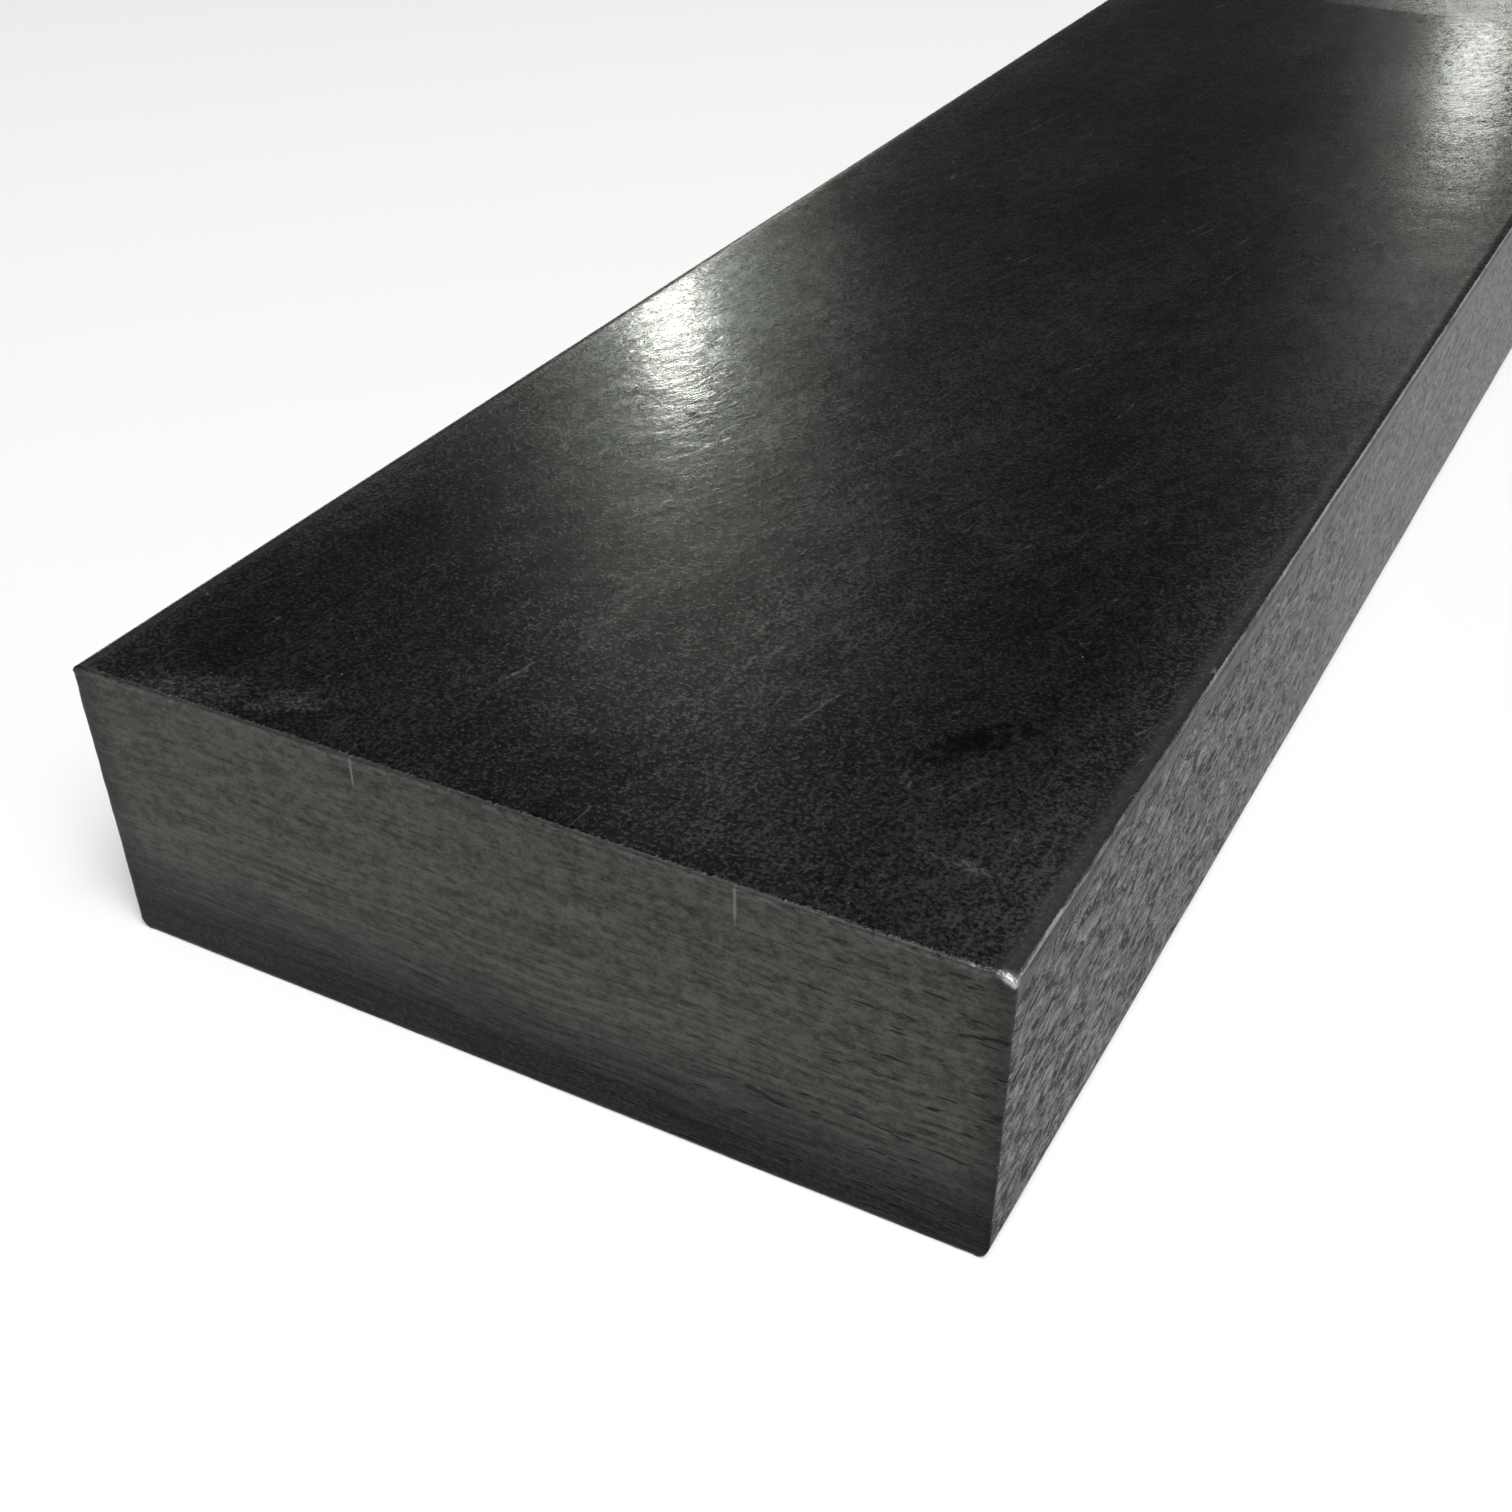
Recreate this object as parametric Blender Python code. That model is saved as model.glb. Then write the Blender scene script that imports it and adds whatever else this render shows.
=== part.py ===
"""Solid steel flat bar: hot-rolled section with rounded long edges, both ends cut square by a saw.

Frame: metres, +Z up. X runs across the width, Y along the length and Z through the thickness.
The origin is the centre of the bottom face, so the bar stands on Z = 0.
"""

import math

import bmesh
import bpy
from mathutils import Vector

# Driving dimensions, in metres
BAR_LENGTH = 0.3048
BAR_WIDTH = 0.0762
BAR_THICKNESS = 0.0254
TOP_EDGE_RADIUS = 0.0009      # the two upper long edges, formed by the finishing roll
BOTTOM_EDGE_RADIUS = 0.0013   # the two lower long edges
SAWN_ARRIS = 0.0002           # width of the broken edge round each sawn end

EDGE_SEGMENTS = 6             # straight steps in each rounded long edge
SMOOTH_ANGLE = math.radians(30)

# Steel with a dark rolled skin: linear colour, roughness, metallic
STEEL_FINISH = ((0.022, 0.023, 0.023, 1.0), 0.42, 1.0)


def clear_objects():
    """Remove everything that the start-up scene holds."""
    for obj in list(bpy.data.objects):
        bpy.data.objects.remove(obj, do_unlink=True)


def make_material(name, finish):
    """Principled material from a colour, a roughness and a metallic value."""
    colour, roughness, metallic = finish
    material = bpy.data.materials.new(name)
    material.use_nodes = True
    shader = material.node_tree.nodes["Principled BSDF"]
    shader.inputs["Base Color"].default_value = colour
    shader.inputs["Roughness"].default_value = roughness
    shader.inputs["Metallic"].default_value = metallic
    material.diffuse_color = colour
    return material


def corner_arc(centre_x, centre_z, radius, start_angle):
    """Points of a quarter circle in the XZ plane, turning anticlockwise from start_angle."""
    points = []
    for step in range(EDGE_SEGMENTS + 1):
        angle = start_angle + math.pi / 2 * step / EDGE_SEGMENTS
        points.append((centre_x + radius * math.cos(angle), centre_z + radius * math.sin(angle)))
    return points


def section_outline():
    """Cross-section of the bar: a rectangle whose four corners are rolled round."""
    half = BAR_WIDTH / 2
    low = BOTTOM_EDGE_RADIUS
    high = TOP_EDGE_RADIUS
    outline = corner_arc(half - low, low, low, -math.pi / 2)
    outline += corner_arc(half - high, BAR_THICKNESS - high, high, 0.0)
    outline += corner_arc(high - half, BAR_THICKNESS - high, high, math.pi / 2)
    outline += corner_arc(low - half, low, low, math.pi)
    return outline


def make_flat_bar():
    """Extrude the section along the length, then break the sharp edge of both sawn ends."""
    mesh = bmesh.new()
    near_y = -BAR_LENGTH / 2
    near_ring = [mesh.verts.new((x, near_y, z)) for x, z in section_outline()]
    near_end = mesh.faces.new(near_ring)
    extruded = bmesh.ops.extrude_face_region(mesh, geom=[near_end])
    far_ring = [item for item in extruded["geom"] if isinstance(item, bmesh.types.BMVert)]
    bmesh.ops.translate(mesh, vec=Vector((0.0, BAR_LENGTH, 0.0)), verts=far_ring)
    # The extrusion keeps the starting face, which closes the near end.
    bmesh.ops.recalc_face_normals(mesh, faces=mesh.faces)

    end_edges = [edge for edge in mesh.edges
                 if abs(edge.verts[0].co.y - edge.verts[1].co.y) < BAR_LENGTH / 2]
    bmesh.ops.bevel(mesh, geom=end_edges, offset=SAWN_ARRIS, offset_type='OFFSET',
                    segments=1, profile=0.5, affect='EDGES')

    data = bpy.data.meshes.new("flat_bar")
    mesh.to_mesh(data)
    mesh.free()
    data.shade_smooth()
    data.set_sharp_from_angle(angle=SMOOTH_ANGLE)
    data.materials.append(make_material("dark_rolled_steel", STEEL_FINISH))
    bar = bpy.data.objects.new("flat_bar", data)
    bpy.context.scene.collection.objects.link(bar)
    return bar


def main():
    clear_objects()
    make_flat_bar()


main()
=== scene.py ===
"""Looks of the steel flat bar: a worn, oiled rolling skin, pitted rolled edges and band-sawn ends.

The mesh, the lights and the camera are in metres in the CAD frame: X across the width, Y along the
length, Z up, with the origin in the middle of the bottom face. The steel's nodes work in millimetres in
the same frame, so a place or a distance given to them is in mm and a texture scale is per mm.
"""

import functools
import math

import bpy
import numpy as np
from mathutils import Matrix, Vector, noise


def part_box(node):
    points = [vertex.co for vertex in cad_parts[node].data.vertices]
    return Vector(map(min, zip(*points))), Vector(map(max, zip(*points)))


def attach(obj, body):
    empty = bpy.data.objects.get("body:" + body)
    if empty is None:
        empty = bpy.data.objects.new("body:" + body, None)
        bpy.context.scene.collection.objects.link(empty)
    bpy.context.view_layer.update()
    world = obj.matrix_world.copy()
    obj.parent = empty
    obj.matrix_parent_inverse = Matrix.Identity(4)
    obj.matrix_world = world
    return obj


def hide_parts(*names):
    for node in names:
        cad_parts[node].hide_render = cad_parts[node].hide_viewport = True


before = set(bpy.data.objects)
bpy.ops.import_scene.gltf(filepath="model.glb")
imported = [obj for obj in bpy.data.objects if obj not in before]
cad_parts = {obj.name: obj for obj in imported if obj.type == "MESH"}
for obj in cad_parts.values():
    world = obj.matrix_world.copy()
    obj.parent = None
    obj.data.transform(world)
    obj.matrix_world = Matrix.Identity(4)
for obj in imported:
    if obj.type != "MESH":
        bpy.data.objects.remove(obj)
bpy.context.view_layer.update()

MM = 0.001
LOW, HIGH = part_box("flat_bar")
CENTRE = (LOW + HIGH) / 2
WIDTH = HIGH.x - LOW.x
LENGTH = HIGH.y - LOW.y
THICKNESS = HIGH.z - LOW.z

# Rounding of the long edges, as in the CAD model
TOP_EDGE_RADIUS = 0.9 * MM
BOTTOM_EDGE_RADIUS = 1.3 * MM

# Spacing of the surface mesh: close rows beside every edge, then even steps
EDGE_ROWS = (0.0, 0.22 * MM, 0.5 * MM, 0.85 * MM, 1.3 * MM)
WIDTH_STEP = 1.5 * MM
THICKNESS_STEP = 0.7 * MM
LENGTH_STEP = 1.1 * MM

# Depths of the relief in the mesh, all cut inwards from the CAD surface
SKIN_WAVE = 0.02 * MM
SIDE_WAVE = 0.10 * MM
SAW_WAVE = 0.08 * MM
ARRIS = 0.22 * MM

# A point this near to a face takes its relief, and one this near is on the face itself
NEAR_FACE = 0.3 * MM
ON_FACE = 0.05 * MM

# Layout of the UV map: how much the ends are enlarged, the gap between islands and the rim left free
END_SCALE = 1.9
UV_GAP = 3.0 * MM
UV_MARGIN = 0.004


# ---------------------------------------------------------------- mesh of the bar

def rows(length, step):
    """Positions from -length/2 to length/2: EDGE_ROWS at both ends, even steps between."""
    half = length / 2
    inner = half - EDGE_ROWS[-1]
    count = max(2, round(2 * inner / step))
    middle = np.linspace(-inner, inner, count + 1)
    edge = np.array(EDGE_ROWS[:-1])
    return np.concatenate([edge - half, middle, half - edge[::-1]])


def box_lattice(xs, ys, zs):
    """The points on the faces of a box lattice, and its six sides as grids of point indices."""
    shape = (len(xs), len(ys), len(zs))
    skin = np.zeros(shape, bool)
    for axis in range(3):
        face = [slice(None)] * 3
        face[axis] = [0, -1]
        skin[tuple(face)] = True
    index = np.full(shape, -1)
    index[skin] = np.arange(skin.sum())
    grid = np.argwhere(skin)
    points = np.stack([xs[grid[:, 0]], ys[grid[:, 1]], zs[grid[:, 2]]], axis=1)
    sides = {
        "right": index[-1, :, :], "left": index[0, :, ::-1],
        "far": index[::-1, -1, :], "near": index[:, 0, :],
        "top": index[:, :, -1], "bottom": index[:, ::-1, 0],
    }
    return points, sides


def quads(grid):
    """The four corners of every cell in a grid of vertex indices, or of pairs of numbers."""
    cells = np.stack([grid[:-1, :-1], grid[1:, :-1], grid[1:, 1:], grid[:-1, 1:]], axis=2)
    return cells.reshape(-1, 4, *grid.shape[2:])


def round_section(points):
    """Moves the lattice's square corners onto the rounded section, by squeezing square into disc."""
    x, z = points[:, 0], points[:, 2]
    radius = np.where(z > 0, TOP_EDGE_RADIUS, BOTTOM_EDGE_RADIUS)
    core_x, core_z = WIDTH / 2 - radius, THICKNESS / 2 - radius
    over_x, over_z = np.abs(x) - core_x, np.abs(z) - core_z
    corner = (over_x > 0) & (over_z > 0)
    reach = np.hypot(over_x, over_z)
    squeeze = np.where(corner, np.maximum(over_x, over_z) / np.where(corner, reach, 1), 1)
    points[:, 0] = np.where(corner, np.sign(x) * (core_x + over_x * squeeze), x)
    points[:, 2] = np.where(corner, np.sign(z) * (core_z + over_z * squeeze), z)


def wave(point, size, stretch, seed):
    """Smooth noise from 0 to 1 at a point: size is its wavelength, stretch its shape on each axis."""
    place = Vector([c / (size * s) for c, s in zip(point, stretch)]) + Vector((seed, 2 * seed, -seed))
    return min(1.0, max(0.0, 0.5 + 0.4 * noise.fractal(place, 1.0, 2.0, 3)))


def carve(points):
    """Relief of the real surface: hollows in the skin, rolled sides, saw steps and worn arrises."""
    half = np.array([WIDTH, LENGTH, THICKNESS]) / 2
    for point in points:
        gap = half - np.abs(point)
        side = np.sign(point)
        at = tuple(point)
        if gap[0] < NEAR_FACE:
            point[0] -= side[0] * SIDE_WAVE * wave(at, 5 * MM, (1, 3, 1), 3.1)
        if gap[2] < NEAR_FACE:
            point[2] -= side[2] * SKIN_WAVE * wave(at, 9 * MM, (1, 2, 1), 7.7)
        if gap[1] < ON_FACE:
            point[1] -= side[1] * SAW_WAVE * wave(at, 3 * MM, (12, 1, 1), 11.3)
            if gap[0] < ON_FACE or gap[2] < ON_FACE:
                cut = ARRIS * (0.3 + 0.9 * wave(at, 1.6 * MM, (1, 1, 1), 19.9))
                point[1] -= side[1] * cut * 0.5
                point[0] -= side[0] * cut * 0.3 * (gap[0] < NEAR_FACE)
                point[2] -= side[2] * cut * 0.3 * (gap[2] < NEAR_FACE)


def unwrap(mesh, flat, sides):
    """UV map: the four long faces as one strip round the section, and the two enlarged ends beside it."""
    x, y, z = (flat + np.array([WIDTH, LENGTH, THICKNESS]) / 2).T
    strip = 2 * (WIDTH + THICKNESS)
    ends = strip + UV_GAP
    places = {
        "bottom": (y, WIDTH - x),
        "left": (y, WIDTH + z),
        "top": (y, WIDTH + THICKNESS + x),
        "right": (y, strip - z),
        "near": (END_SCALE * x, ends + END_SCALE * z),
        "far": (END_SCALE * (2 * WIDTH - x) + UV_GAP, ends + END_SCALE * z),
    }
    sheet = np.array([LENGTH, ends + END_SCALE * THICKNESS])
    corners = [quads(np.stack(places[name], axis=1)[grid]) for name, grid in sides.items()]
    coords = UV_MARGIN + (1 - 2 * UV_MARGIN) * np.concatenate(corners) / sheet
    layer = mesh.uv_layers.new(name="OFBake")
    layer.data.foreach_set("uv", coords.astype(np.float32).ravel())


def make_bar_mesh():
    points, sides = box_lattice(
        rows(WIDTH, WIDTH_STEP), rows(LENGTH, LENGTH_STEP), rows(THICKNESS, THICKNESS_STEP))
    flat = points.copy()
    round_section(points)
    carve(points)
    points += np.array(CENTRE)
    faces = np.concatenate([quads(grid) for grid in sides.values()])
    mesh = bpy.data.meshes.new("flat_bar_surface")
    mesh.from_pydata(points.tolist(), [], faces.tolist())
    mesh.update()
    mesh.shade_smooth()
    unwrap(mesh, flat, sides)
    return mesh


# ---------------------------------------------------------------- node helper

class Nodes:
    """Adds shader nodes to a tree. A value given for a socket is either a number or another socket."""

    def __init__(self, tree):
        self.tree = tree
        tree.nodes.clear()

    def add(self, kind, inputs=(), **settings):
        made = self.tree.nodes.new(kind)
        for name, value in settings.items():
            setattr(made, name, value)
        for key, value in dict(inputs).items():
            self.put(made.inputs[key], value)
        return made

    def put(self, socket, value):
        if isinstance(value, bpy.types.NodeSocket):
            self.tree.links.new(value, socket)
        elif value is not None:
            socket.default_value = value

    def math(self, operation, a, b=None):
        made = self.add("ShaderNodeMath", operation=operation)
        for socket, value in zip(made.inputs, (a, b)):
            self.put(socket, value)
        return made.outputs[0]

    def fade(self, value, start, end, low=0.0, high=1.0):
        """Smooth change from low to high while value goes from start to end."""
        made = self.add("ShaderNodeMapRange", {
            "Value": value, "From Min": start, "From Max": end, "To Min": low, "To Max": high,
        }, interpolation_type='SMOOTHSTEP')
        return made.outputs["Result"]

    def stretch(self, vector, scale, turn=(0.0, 0.0, 0.0), shift=(0.0, 0.0, 0.0)):
        """Coordinates scaled, then turned and shifted: a scale below 1 draws the pattern out."""
        made = self.add("ShaderNodeMapping", {
            "Vector": vector, "Location": shift, "Rotation": turn, "Scale": scale})
        return made.outputs[0]

    def drawn(self, vector, ratio, angle, shift=(0.0, 0.0, 0.0)):
        """Coordinates whose pattern comes out ratio times longer at an angle from X, seen from above."""
        made = self.add("ShaderNodeMapping", {
            "Vector": vector, "Location": shift, "Rotation": (0.0, 0.0, angle),
            "Scale": (ratio, 1.0, 1.0)}, vector_type='TEXTURE')
        return made.outputs[0]

    def noise(self, vector, scale, detail=2.0, roughness=0.5, distortion=0.0):
        made = self.add("ShaderNodeTexNoise", {
            "Vector": vector, "Scale": scale, "Detail": detail, "Roughness": roughness,
            "Distortion": distortion})
        return made.outputs[0]

    def between(self, data_type, ending, share, a, b):
        """Mix node of a data type, whose sockets' identifiers carry that type's ending."""
        made = self.add("ShaderNodeMix", data_type=data_type)
        inputs = {socket.identifier: socket for socket in made.inputs}
        outputs = {socket.identifier: socket for socket in made.outputs}
        self.put(inputs["Factor_Float"], share)
        self.put(inputs["A_" + ending], a)
        self.put(inputs["B_" + ending], b)
        return outputs["Result_" + ending]

    def mix(self, share, a, b):
        """Colour a, turning to colour b as share goes from 0 to 1."""
        return self.between('RGBA', "Color", share, a, b)

    def blend(self, share, a, b):
        """Number a, turning to number b as share goes from 0 to 1."""
        return self.between('FLOAT', "Float", share, a, b)

    def product(self, *values):
        """All the values multiplied together, from left to right."""
        return functools.reduce(lambda a, b: self.math('MULTIPLY', a, b), values)

    def total(self, *values):
        """All the values added together, from left to right."""
        return functools.reduce(lambda a, b: self.math('ADD', a, b), values)

    def largest(self, *values):
        """The largest of the values."""
        return functools.reduce(lambda a, b: self.math('MAXIMUM', a, b), values)

    def spot(self, mm, gap, centre, size, angle, soft):
        """1 inside an ellipse on the upper face, drawn out at an angle from X, with a ragged rim; mm."""
        place = self.add("ShaderNodeMapping", {
            "Vector": mm, "Location": (*centre, 0.0), "Rotation": (0.0, 0.0, angle),
            "Scale": (size[0] / 2, size[1] / 2, 1000.0)}, vector_type='TEXTURE').outputs[0]
        reach = self.add("ShaderNodeVectorMath", {0: place}, operation='LENGTH').outputs["Value"]
        rim = self.product(self.math('SUBTRACT', self.noise(mm, 1.1, 4.0, 0.65), 0.5), 3.4)
        inside = self.fade(self.total(reach, rim), 1.0 + soft, 1.0 - 2 * soft)
        return self.product(inside, self.fade(gap["top"], 1.0, 0.5))

    def mark(self, gap, place, length):
        """A light upright scratch on the near end, from the upper edge down; mm."""
        wander = self.product(gap["top"], 0.02)
        away = self.math('ABSOLUTE', self.math('SUBTRACT', self.total(gap["x"], wander), place))
        line = self.product(self.fade(away, 0.16, 0.05), self.fade(gap["top"], length, length * 0.6))
        return self.product(line, self.fade(gap["y"], 0.0, -1.0, 0.0, 0.55))


def grey(value, red=1.0, blue=1.0):
    """A colour whose green is value, with red and blue as shares of it."""
    return (value * red, value, value * blue, 1.0)


# ---------------------------------------------------------------- steel material

def facets(g, mm):
    """Place on the bar and depth from its sides, ends and top, in mm, as sockets the finishes share."""
    axes = g.add("ShaderNodeSeparateXYZ", {0: mm}).outputs
    return {
        "x": axes["X"], "y": axes["Y"], "z": axes["Z"],
        "side": g.math('SUBTRACT', WIDTH / 2 / MM, g.math('ABSOLUTE', axes["X"])),
        "end": g.math('SUBTRACT', LENGTH / 2 / MM, g.math('ABSOLUTE', axes["Y"])),
        "top": g.math('SUBTRACT', THICKNESS / MM, axes["Z"]),
    }


# Single marks on the upper face: centre, size, angle from X and softness of the rim
PALE_HAZES = (
    ((-29.0, -151.0), (11.0, 4.5), 0.25, 0.6),
    ((-20.0, -148.6), (7.0, 3.0), 0.5, 0.6),
    ((31.0, -143.6), (7.0, 1.1), -0.05, 0.5),
)
SMUDGE = ((25.6, -130.4), (8.6, 3.2), 0.98, 0.4)
PIT = ((-18.9, -92.9), (1.1, 0.9), 0.0, 0.2)

# Light upright scratches on the near end: place across the width and length
END_SCRATCHES = ((-11.9, 3.2), (18.8, 3.6))


def skin_colour(g, mm, gap, grain, flakes):
    """Dark scale, lighter on its grain and flakes, and where it is rubbed along the bar in patches, with
    a painted reflection that makes it lighter towards the right side and the far end.
    """
    patches = g.noise(g.stretch(mm, (1.0, 0.5, 1.0)), 0.055, 4.0, 0.6)
    rubs = g.noise(g.stretch(mm, (1.0, 0.16, 1.0), turn=(0.0, 0.0, 0.12)), 1.7, 2.0, 0.6)
    rubbed = g.product(g.fade(rubs, 0.56, 0.72), g.fade(patches, 0.46, 0.62))
    flaky = g.fade(gap["y"], -135.0, -90.0, 0.15, 0.26)
    tone = g.total(
        grain,
        g.product(g.math('SUBTRACT', patches, 0.5), 0.35),
        g.product(rubbed, 0.16),
        g.product(g.math('SUBTRACT', flakes, 0.5), flaky),
        # Painted reflection: the scale lighter towards the right side and towards the far end
        g.fade(gap["x"], 0.0, 34.0, 0.0, 0.026),
        g.fade(gap["y"], -130.0, -40.0, -0.010, 0.012))
    colour = g.mix(g.fade(tone, 0.38, 0.76), grey(0.010, 0.86, 0.90), grey(0.19, 0.90, 0.97))
    return colour, tone


def skin_haze(g, mm, gap, grain):
    """Thin pale film: three wiped places near the end, and a stretch along both long edges."""
    haze = g.largest(*[g.spot(mm, gap, *place) for place in PALE_HAZES])
    haze = g.largest(haze, g.fade(gap["side"], 9.0, 1.0, 0.0, 0.42))
    return g.product(haze, g.fade(grain, 0.35, 0.65, 0.12, 0.30), g.fade(gap["side"], 0.5, 1.4))


def skin_dust(g, mm, gap):
    """Pale specks, mostly near the end, and broken hair scratches at a slant to the bar."""
    specks = g.noise(g.stretch(mm, (1.0, 1.0, 1.0), shift=(31.0, 7.0, 3.0)), 3.4, 2.0, 0.6)
    specks = g.product(g.fade(specks, 0.72, 0.79), g.fade(gap["y"], -115.0, -70.0, 1.0, 0.3))
    hair = g.noise(g.drawn(mm, 16.0, 1.35), 0.75, 1.0, 0.4)
    hair = g.math('ABSOLUTE', g.math('SUBTRACT', hair, 0.5))
    broken = g.fade(g.noise(g.drawn(mm, 3.0, 1.35), 0.30, 3.0, 0.7), 0.52, 0.62)
    scratch = g.product(g.fade(hair, 0.0080, 0.0020), broken)
    return g.largest(specks, g.product(scratch, 0.30))


def dry_patch(g, mm, gap):
    """An island without oil in the far half, sharp on its near shore and fading out behind."""
    shore = g.total(gap["y"], g.product(g.noise(mm, 0.30, 3.0), 2.0))
    bank = g.total(gap["x"], g.product(g.noise(mm, 0.16, 3.0), 9.0))
    dry = g.product(g.fade(shore, 81.2, 82.0), g.fade(bank, -7.0, -1.0))
    return g.product(dry, g.fade(shore, 128.0, 92.0))


def rolling_skin(g, mm, gap):
    """Oiled mill scale: a fine dark grain under low ripples, rubbed lighter along the bar in places, with
    a painted sheen on the strip beside each long edge.
    """
    calm = g.fade(gap["y"], -120.0, 30.0, 1.0, 0.35)
    lively = g.product(
        g.fade(gap["y"], -122.0, -92.0, 0.5, 1.0), g.fade(gap["y"], -50.0, 40.0, 1.0, 0.8))
    grain = g.noise(mm, 3.1, 3.0, 0.75)
    swell = g.noise(g.drawn(mm, 1.5, 0.5), 0.17, 1.0, 0.5)
    flakes = g.noise(g.drawn(mm, 2.0, 1.15, shift=(9.0, 2.0, 5.0)), 0.95, 3.0, 0.66, 0.5)
    ripple = g.total(g.product(swell, 1.6), g.product(flakes, lively))

    colour, tone = skin_colour(g, mm, gap, grain, flakes)
    haze = skin_haze(g, mm, gap, grain)
    colour = g.mix(haze, colour, grey(0.22))
    dust = skin_dust(g, mm, gap)
    colour = g.mix(dust, colour, grey(0.21))

    pit = g.spot(mm, gap, *PIT)
    dark = g.largest(g.product(g.spot(mm, gap, *SMUDGE), 0.95), g.product(pit, 0.8))
    colour = g.mix(dark, colour, grey(0.003))
    # Painted sheen: a pale strip beside each long edge where the face rolls over, standing in for its
    # bright reflection; no oil film there
    painted_edge_sheen = g.fade(g.total(gap["side"], g.product(grain, 1.6)), 3.0, 0.8)
    colour = g.mix(g.product(painted_edge_sheen, 0.6), colour, grey(0.40, 1.0, 0.95))
    dry = dry_patch(g, mm, gap)
    colour = g.mix(g.product(dry, 0.8), colour, grey(0.60))

    raised = g.total(g.product(grain, calm, 0.030), g.product(ripple, 0.050))
    return {
        "colour": colour,
        "rough": g.total(0.218, g.product(tone, 0.10)),
        "height": g.math('SUBTRACT', raised, g.product(pit, 0.06)),
        "ripple": ripple,
        "film": g.fade(g.total(grain, flakes), 0.70, 1.30, 0.42, 1.58),
        "dust": g.largest(dust, haze),
        "plain": g.largest(dark, dry, painted_edge_sheen),
    }


def rolled_side(g, mm, gap):
    """Bark-like pits drawn out along the bar, under a smooth band beside the upper edge, with painted
    shade in the pits, painted highlights on their ridges, a painted reflection lighter towards the far
    end and painted shade low down near the near end.
    """
    bark = g.noise(g.stretch(mm, (1.0, 0.50, 1.0)), 0.95, 4.0, 0.74, 1.0)
    wrinkle = g.noise(g.stretch(mm, (1.0, 0.42, 1.0), shift=(3.0, 8.0, 1.0)), 0.80, 3.0, 0.65, 0.9)
    wrinkle = g.math('ABSOLUTE', g.math('SUBTRACT', wrinkle, 0.5))
    clouds = g.noise(g.stretch(mm, (1.0, 0.3, 1.0)), 0.22, 3.0, 0.55)
    band = g.total(gap["top"], g.product(g.math('SUBTRACT', clouds, 0.5), 3.0))
    rugged = g.product(g.fade(band, 0.8, 2.6, 0.25, 1.0), g.fade(gap["y"], -120.0, -50.0, 1.0, 0.5))
    # Painted shade darkens the pits and a painted highlight lightens the ridges of the bark
    shaded_crevice = g.largest(g.fade(bark, 0.48, 0.40), g.fade(wrinkle, 0.024, 0.006, 0.0, 0.9))
    shaded_crevice = g.product(shaded_crevice, rugged)
    highlit_crest = g.product(g.fade(bark, 0.53, 0.61), rugged)

    # Painted reflection: the side lighter towards the far end
    shade = g.total(clouds, g.fade(gap["y"], -150.0, -20.0, -0.1, 0.14))
    colour = g.mix(g.fade(shade, 0.3, 0.7), grey(0.038, 0.98, 0.98), grey(0.078, 1.0, 0.97))
    # Painted shade: the side darker low down, near the near end
    low = g.product(g.fade(gap["z"], 16.0, 3.0), g.fade(gap["y"], -138.0, -98.0, 0.60, 0.0))
    colour = g.mix(low, colour, grey(0.02))
    colour = g.mix(g.product(shaded_crevice, 0.97), colour, grey(0.003))
    colour = g.mix(g.product(highlit_crest, 0.9), colour, grey(0.180))

    relief = g.total(g.product(bark, 0.46), g.fade(wrinkle, 0.0, 0.05, 0.0, 0.07))
    return {
        "colour": colour,
        "rough": g.total(0.40, g.product(shaded_crevice, 0.2)),
        "height": g.product(relief, rugged),
    }


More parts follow.
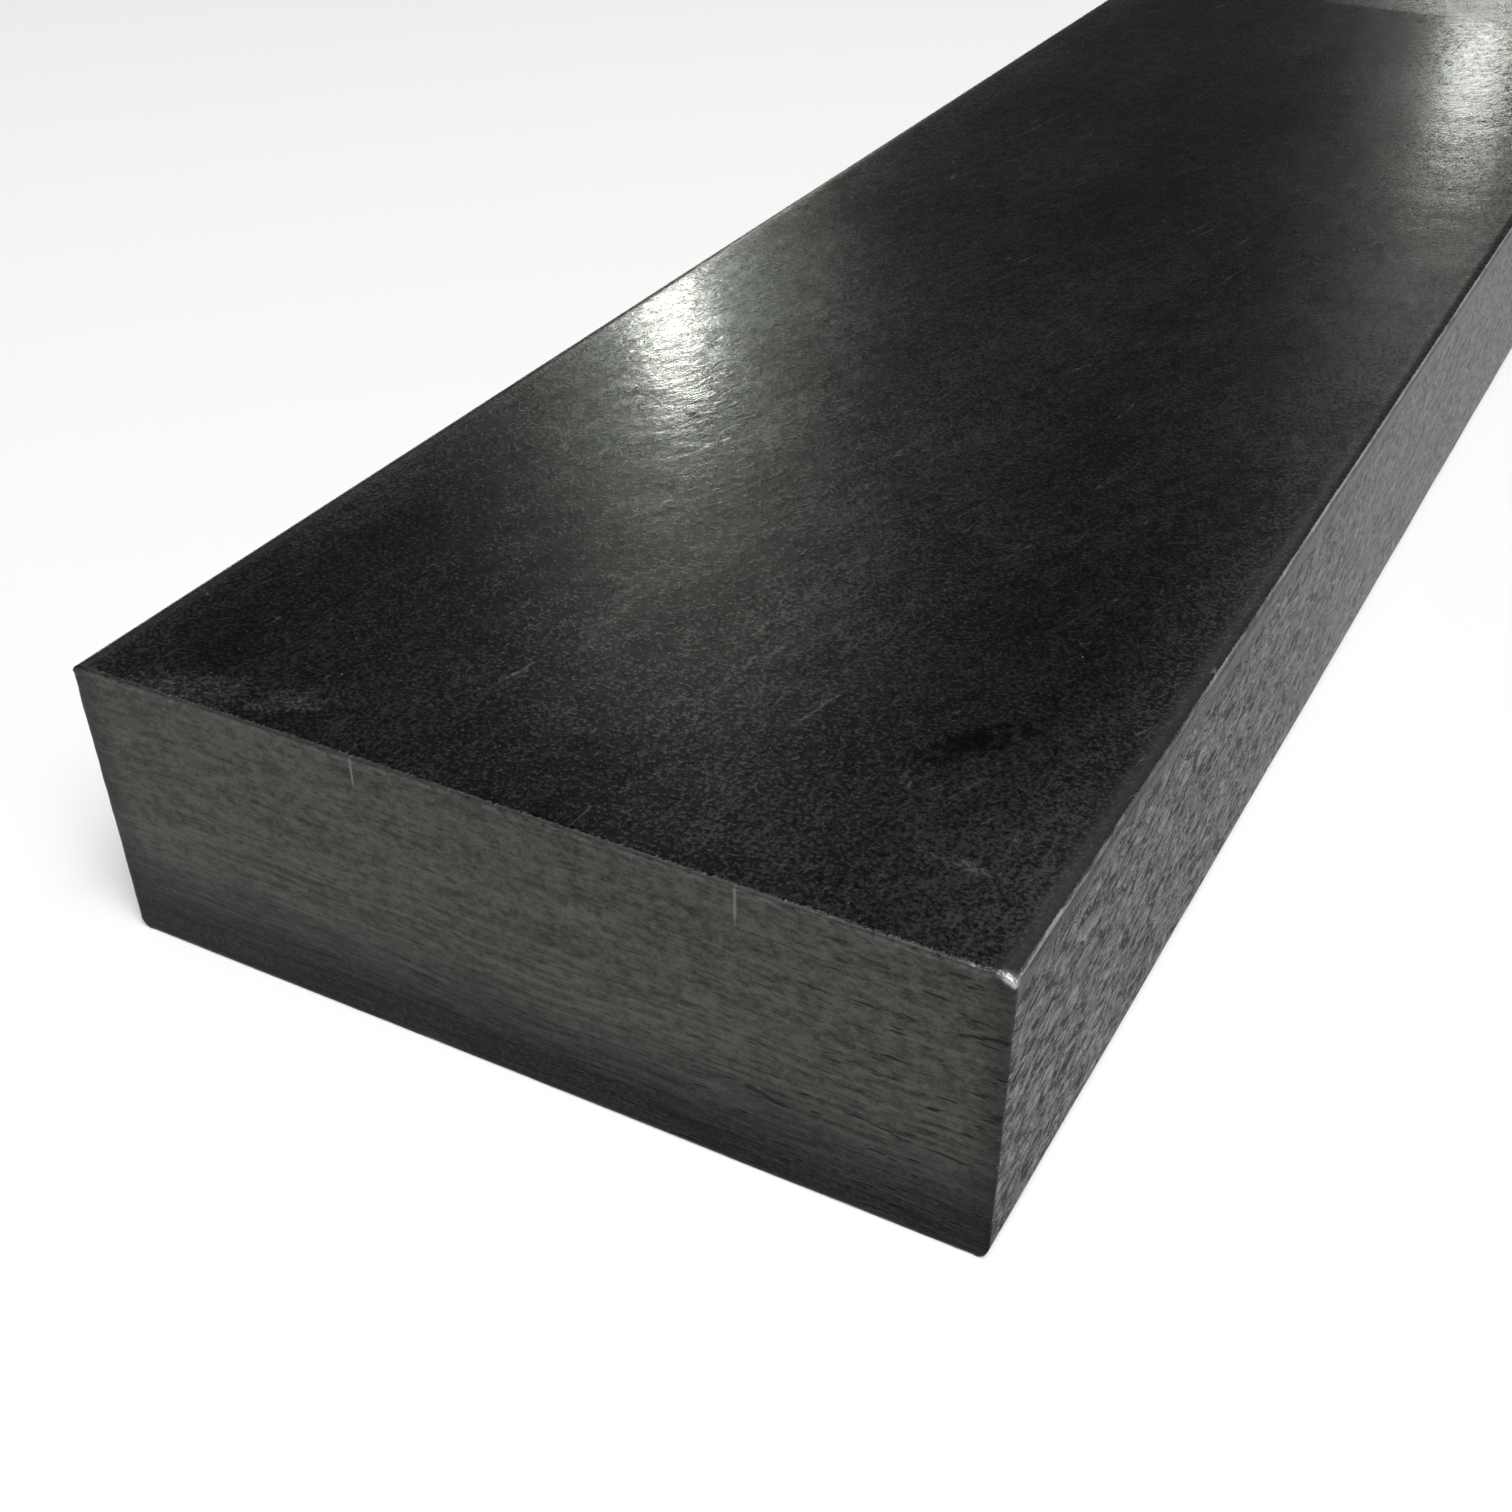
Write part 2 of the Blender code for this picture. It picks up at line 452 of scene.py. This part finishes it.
def sawn_end(g, mm, gap):
    """Band-sawn steel: fine feed lines across the width, mottled, with torn dashes low on the right and
    painted shade along its lower edge.
    """
    drift = g.product(g.noise(mm, 0.07, 2.0), 2.0)
    feed = g.add("ShaderNodeCombineXYZ", {
        "X": g.product(gap["x"], 0.035), "Y": gap["y"], "Z": g.total(gap["z"], drift)}).outputs[0]
    lines = g.noise(feed, 2.8, 4.0, 0.80)
    mottle = g.noise(g.stretch(mm, (0.6, 1.0, 1.0)), 1.9, 5.0, 0.78)
    blots = g.noise(g.stretch(mm, (0.7, 1.0, 1.0)), 3.0, 2.0, 0.6)

    low = g.fade(gap["z"], 19.0, 6.0)
    cut = g.total(g.product(lines, g.blend(low, 0.34, 0.56)), g.product(mottle, g.blend(low, 0.66, 0.44)))
    colour = g.mix(g.fade(cut, 0.34, 0.64), grey(0.022, 0.98, 0.92), grey(0.094, 0.99, 0.90))
    colour = g.mix(g.product(g.fade(blots, 0.64, 0.72), 0.6), colour, grey(0.014))

    low_right = g.fade(g.total(gap["x"], g.product(gap["z"], -0.9)), -12.0, 22.0)
    torn = g.noise(g.stretch(mm, (0.16, 1.0, 1.0), turn=(0.0, 0.05, 0.0)), 2.0, 2.0, 0.6)
    tear = g.product(g.fade(torn, 0.61, 0.69), g.blend(low_right, 0.06, 0.95))
    colour = g.mix(tear, colour, grey(0.014))

    torn_lip = g.noise(g.stretch(mm, (0.6, 1.0, 1.0), shift=(5.0, 1.0, 2.0)), 2.2, 3.0, 0.7)
    lip = g.fade(g.total(gap["top"], g.product(torn_lip, 2.4)), 1.75, 1.25)
    colour = g.mix(g.product(lip, 0.7), colour, grey(0.13))

    # Painted shade: the lower edge of the sawn end dark and bluish, standing in for the shadowed floor it
    # mirrors, speckled by its lines and blots
    painted_foot_shade = g.fade(g.total(gap["z"], g.product(mottle, 2.5)), 13.0, 2.4)
    painted_foot_shade = g.product(painted_foot_shade, g.fade(gap["x"], -5.0, 36.0, 0.98, 0.86))
    foot_shade_speckle = g.fade(g.total(lines, blots), 0.90, 1.25)
    colour = g.mix(painted_foot_shade, colour, g.mix(foot_shade_speckle, grey(0.001, 0.6, 1.5), grey(0.022, 0.85, 1.15)))

    rim = g.fade(g.total(gap["side"], g.product(mottle, 2.0)), 4.2, 1.4)
    colour = g.mix(g.product(rim, 0.45), colour, grey(0.012))
    for place, length in END_SCRATCHES:
        colour = g.mix(g.mark(gap, place, length), colour, grey(0.22))
    return {
        "colour": colour,
        "rough": g.total(0.40, g.product(cut, 0.16)),
        "height": g.math('SUBTRACT', g.product(cut, 0.045), g.product(tear, 0.05)),
    }


def painted_edge_highlight(g, mm, gap):
    """A thin painted highlight where the rolled edge meets the side, brightest at the near end and broken
    up by noise along its length.
    """
    band = g.product(g.fade(gap["top"], 0.08, 0.17), g.fade(gap["top"], 0.54, 0.38))
    line_breakup = g.fade(g.noise(g.stretch(mm, (1.0, 0.4, 1.0)), 1.3, 4.0), 0.32, 0.62, 0.35, 1.0)
    line = g.product(band, g.fade(gap["side"], 0.46, 0.34), line_breakup)
    return g.product(line, g.fade(gap["y"], -150.0, -134.0, 0.90, 0.55))


def corner_burr(g, gap, ragged):
    """Bare metal on the near right upper corner, trailing off along the sawn edge."""
    tail = g.product(gap["side"], g.fade(gap["side"], 0.8, 3.4, 1.0, 0.45))
    corner = g.total(g.product(gap["top"], 1.7), tail, gap["end"])
    burr = g.fade(g.total(corner, g.product(ragged, 1.5)), 1.9, 0.9)
    near_right = g.product(g.fade(gap["x"], 30.0, 34.0), g.fade(gap["y"], 0.0, -1.0))
    return g.product(burr, near_right)


def steel_material():
    """The three finishes joined at the edges of the bar, with an oil film over the rolling skin."""
    material = bpy.data.materials.new("dark_rolled_steel_worn")
    material.use_nodes = True
    g = Nodes(material.node_tree)
    coords = g.add("ShaderNodeTexCoord").outputs["Object"]
    mm = g.add("ShaderNodeVectorMath", {0: coords, "Scale": 1 / MM}, operation='SCALE').outputs[0]
    gap = facets(g, mm)

    ragged = g.product(g.math('SUBTRACT', g.noise(mm, 2.4, 4.0, 0.6), 0.5), 0.9)
    on_end = g.fade(g.total(gap["end"], ragged), 0.36, 0.20)
    on_side = g.fade(g.total(gap["side"], g.product(ragged, 0.2)), 0.36, 0.20)
    skin = rolling_skin(g, mm, gap)
    side = rolled_side(g, mm, gap)
    end = sawn_end(g, mm, gap)
    burr = corner_burr(g, gap, ragged)

    colour = g.mix(on_side, skin["colour"], side["colour"])
    # Painted highlight along the upper arris of each side
    colour = g.mix(painted_edge_highlight(g, mm, gap), colour, grey(0.66))
    colour = g.mix(on_end, colour, end["colour"])
    colour = g.mix(burr, colour, grey(0.58))
    rough = g.blend(on_end, g.blend(on_side, skin["rough"], side["rough"]), end["rough"])
    rough = g.blend(burr, rough, 0.48)
    height = g.blend(on_end, g.blend(on_side, skin["height"], side["height"]), end["height"])
    bump = g.add("ShaderNodeBump", {"Strength": 1.0, "Distance": MM, "Height": height})

    oil = g.product(*[g.math('SUBTRACT', 1.0, place) for place in (on_end, on_side, skin["plain"])])
    film = g.add("ShaderNodeBump", {
        "Strength": 1.0, "Distance": MM, "Height": g.product(skin["ripple"], 0.024)})
    on_top = g.math('SUBTRACT', 1.0, g.largest(on_end, on_side))
    metallic = g.math('SUBTRACT', 1.0, g.product(skin["dust"], on_top))
    shader = g.add("ShaderNodeBsdfPrincipled", {
        "Base Color": colour, "Roughness": rough, "Metallic": metallic, "Normal": bump.outputs[0],
        "Coat Weight": g.product(oil, skin["film"], 0.36), "Coat Roughness": 0.125,
        "Coat Normal": film.outputs[0]})
    g.add("ShaderNodeOutputMaterial", {"Surface": shader.outputs[0]})
    return material


def make_bar():
    bar = bpy.data.objects.new("flat_bar_surface", make_bar_mesh())
    bpy.context.scene.collection.objects.link(bar)
    bar.data.materials.append(steel_material())
    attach(bar, "root")
    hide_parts("flat_bar")


# ---------------------------------------------------------------- stage, light and camera

FLOOR_SIZE = 12.0
FLOOR_DROP = 0.02 * MM
BACKDROP_RADIUS = 5.5
BACKDROP_SIDES = 48
BACKDROP_LIFT = 0.1 * MM

# The backdrop's glow fades in over the floor between these distances from the middle of the bar
SWEEP_START = 0.30
SWEEP_END = 0.95

SOFTBOX_PLACE = (0.8, -0.9, 2.0)
SOFTBOX_SIZE = 1.6
SOFTBOX_POWER = 78.0

# Small lamps: name, place on the upper face that mirrors it, way to the lamp, power and colour
LAMPS = (
    ("lamp_left", (-0.0323, -0.0742), (-0.486, 0.793, 0.367), 1.78, (0.96, 0.99, 0.90)),
    ("lamp_right", (0.0211, 0.0523), (-0.147, 0.958, 0.246), 0.41, (0.96, 0.99, 0.92)),
)
LAMP_DISTANCE = 3.0
LAMP_SIZE = 0.10

# The camera: its place from the middle of the near end's lower edge, its angles in degrees, its focal
# length on a sensor of full-frame width in mm, and the share of the frame by which the picture moves down
CAMERA_OFFSET = (0.0648, -0.0802, 0.0987)
CAMERA_PITCH = 39.18
CAMERA_HEADING = -29.0
CAMERA_ROLL = -0.6
SENSOR_WIDTH = 36.0
FOCAL_LENGTH = 44.41
SHIFT_UP = 0.1025


def stage_material(name, colour, glow=0.0, inner=0.0, outer=0.0):
    """Matt paint, or an even glow that fades in between two distances from the middle of the stage."""
    material = bpy.data.materials.new(name)
    material.use_nodes = True
    g = Nodes(material.node_tree)
    if glow:
        shader = g.add("ShaderNodeEmission", {"Color": colour, "Strength": glow}).outputs[0]
        place = g.stretch(g.add("ShaderNodeTexCoord").outputs["Object"], (1.0, 1.0, 0.0))
        away = g.add("ShaderNodeVectorMath", {0: place}, operation='LENGTH').outputs["Value"]
        clear = g.add("ShaderNodeBsdfTransparent").outputs[0]
        shader = g.add("ShaderNodeMixShader", {
            0: g.fade(away, inner, outer), 1: clear, 2: shader}).outputs[0]
    else:
        shader = g.add("ShaderNodeBsdfPrincipled", {"Base Color": colour, "Roughness": 0.85}).outputs[0]
    g.add("ShaderNodeOutputMaterial", {"Surface": shader})
    return material


def make_floor():
    half = FLOOR_SIZE / 2
    mesh = bpy.data.meshes.new("floor")
    corners = [(-half, -half, 0.0), (half, -half, 0.0), (half, half, 0.0), (-half, half, 0.0)]
    mesh.from_pydata(corners, [], [(0, 1, 2, 3)])
    floor = bpy.data.objects.new("floor", mesh)
    floor.location.z = LOW.z - FLOOR_DROP
    bpy.context.scene.collection.objects.link(floor)
    mesh.materials.append(stage_material("pale_floor", grey(0.82)))


def make_backdrop():
    """A pale sweep and wall that only the camera sees, so the steel keeps its dark reflections."""
    mesh = bpy.data.meshes.new("backdrop")
    turns = [2 * math.pi * step / BACKDROP_SIDES for step in range(BACKDROP_SIDES)]
    rings = ((SWEEP_START, 0.0), (BACKDROP_RADIUS, 0.0), (BACKDROP_RADIUS, BACKDROP_RADIUS))
    points = [(radius * math.cos(turn), radius * math.sin(turn), z)
              for radius, z in rings for turn in turns]
    faces = []
    for start in (0, BACKDROP_SIDES):
        for step in range(BACKDROP_SIDES):
            following = (step + 1) % BACKDROP_SIDES
            faces.append((start + step, start + following,
                          start + following + BACKDROP_SIDES, start + step + BACKDROP_SIDES))
    faces.append(tuple(range(2 * BACKDROP_SIDES, 3 * BACKDROP_SIDES)))
    mesh.from_pydata(points, [], faces)
    mesh.materials.append(stage_material("pale_backdrop", grey(0.94), 1.0, SWEEP_START, SWEEP_END))
    backdrop = bpy.data.objects.new("backdrop", mesh)
    backdrop.location.z = LOW.z + BACKDROP_LIFT
    backdrop.visible_diffuse = backdrop.visible_glossy = backdrop.visible_transmission = False
    backdrop.visible_shadow = False
    bpy.context.scene.collection.objects.link(backdrop)


def make_light(name, place, target, size, power, colour=(1.0, 1.0, 1.0), shape='SQUARE'):
    data = bpy.data.lights.new(name, 'AREA')
    data.shape = shape
    data.size = size
    data.energy = power
    data.color = colour
    light = bpy.data.objects.new(name, data)
    light.location = place
    light.rotation_euler = (Vector(target) - Vector(place)).to_track_quat('-Z', 'Y').to_euler()
    bpy.context.scene.collection.objects.link(light)


def make_lights():
    """A large soft box overhead in front, and two small lamps behind that the upper face mirrors."""
    make_light("softbox", SOFTBOX_PLACE, (0.0, 0.0, 0.0), SOFTBOX_SIZE, SOFTBOX_POWER)
    for name, spot, way, power, colour in LAMPS:
        spot = Vector((*spot, HIGH.z))
        place = spot + LAMP_DISTANCE * Vector(way)
        make_light(name, place, spot, LAMP_SIZE, power, colour, 'DISK')


def make_world():
    """A dim room, lighter overhead, with a faint band along the horizon."""
    world = bpy.data.worlds.new("studio")
    world.use_nodes = True
    g = Nodes(world.node_tree)
    way = g.add("ShaderNodeTexCoord").outputs["Generated"]
    up = g.add("ShaderNodeSeparateXYZ", {0: way}).outputs["Z"]
    shade = g.mix(g.fade(up, 0.2, 0.8), grey(0.033, 1.08, 0.95), grey(0.145, 1.0, 0.96))
    shade = g.mix(g.fade(up, 0.38, 0.22), shade, grey(0.044, 1.05, 1.0))
    back = g.add("ShaderNodeBackground", {"Color": shade, "Strength": 1.0})
    g.add("ShaderNodeOutputWorld", {"Surface": back.outputs[0]})
    bpy.context.scene.world = world


def make_camera():
    """Close to the near end, above its right corner, looking down along the bar."""
    data = bpy.data.cameras.new("camera")
    data.sensor_width = SENSOR_WIDTH
    data.lens = FOCAL_LENGTH
    data.shift_y = SHIFT_UP
    data.clip_start = 0.01
    data.clip_end = 50.0
    camera = bpy.data.objects.new("camera", data)
    camera.location = Vector((CENTRE.x, LOW.y, LOW.z)) + Vector(CAMERA_OFFSET)
    pitch, heading, roll = (math.radians(angle) for angle in (CAMERA_PITCH, CAMERA_HEADING, CAMERA_ROLL))
    level = Vector((math.sin(heading), math.cos(heading), 0.0))
    look = level * math.cos(pitch) - Vector((0.0, 0.0, math.sin(pitch)))
    across = Vector((math.cos(heading), -math.sin(heading), 0.0))
    upward = across.cross(look)
    right = across * math.cos(roll) + upward * math.sin(roll)
    upright = upward * math.cos(roll) - across * math.sin(roll)
    camera.rotation_euler = Matrix((right, upright, -look)).transposed().to_euler()
    bpy.context.scene.collection.objects.link(camera)
    bpy.context.scene.camera = camera


make_bar()
make_floor()
make_backdrop()
make_lights()
make_world()
make_camera()
bpy.context.scene.view_settings.view_transform = 'Standard'
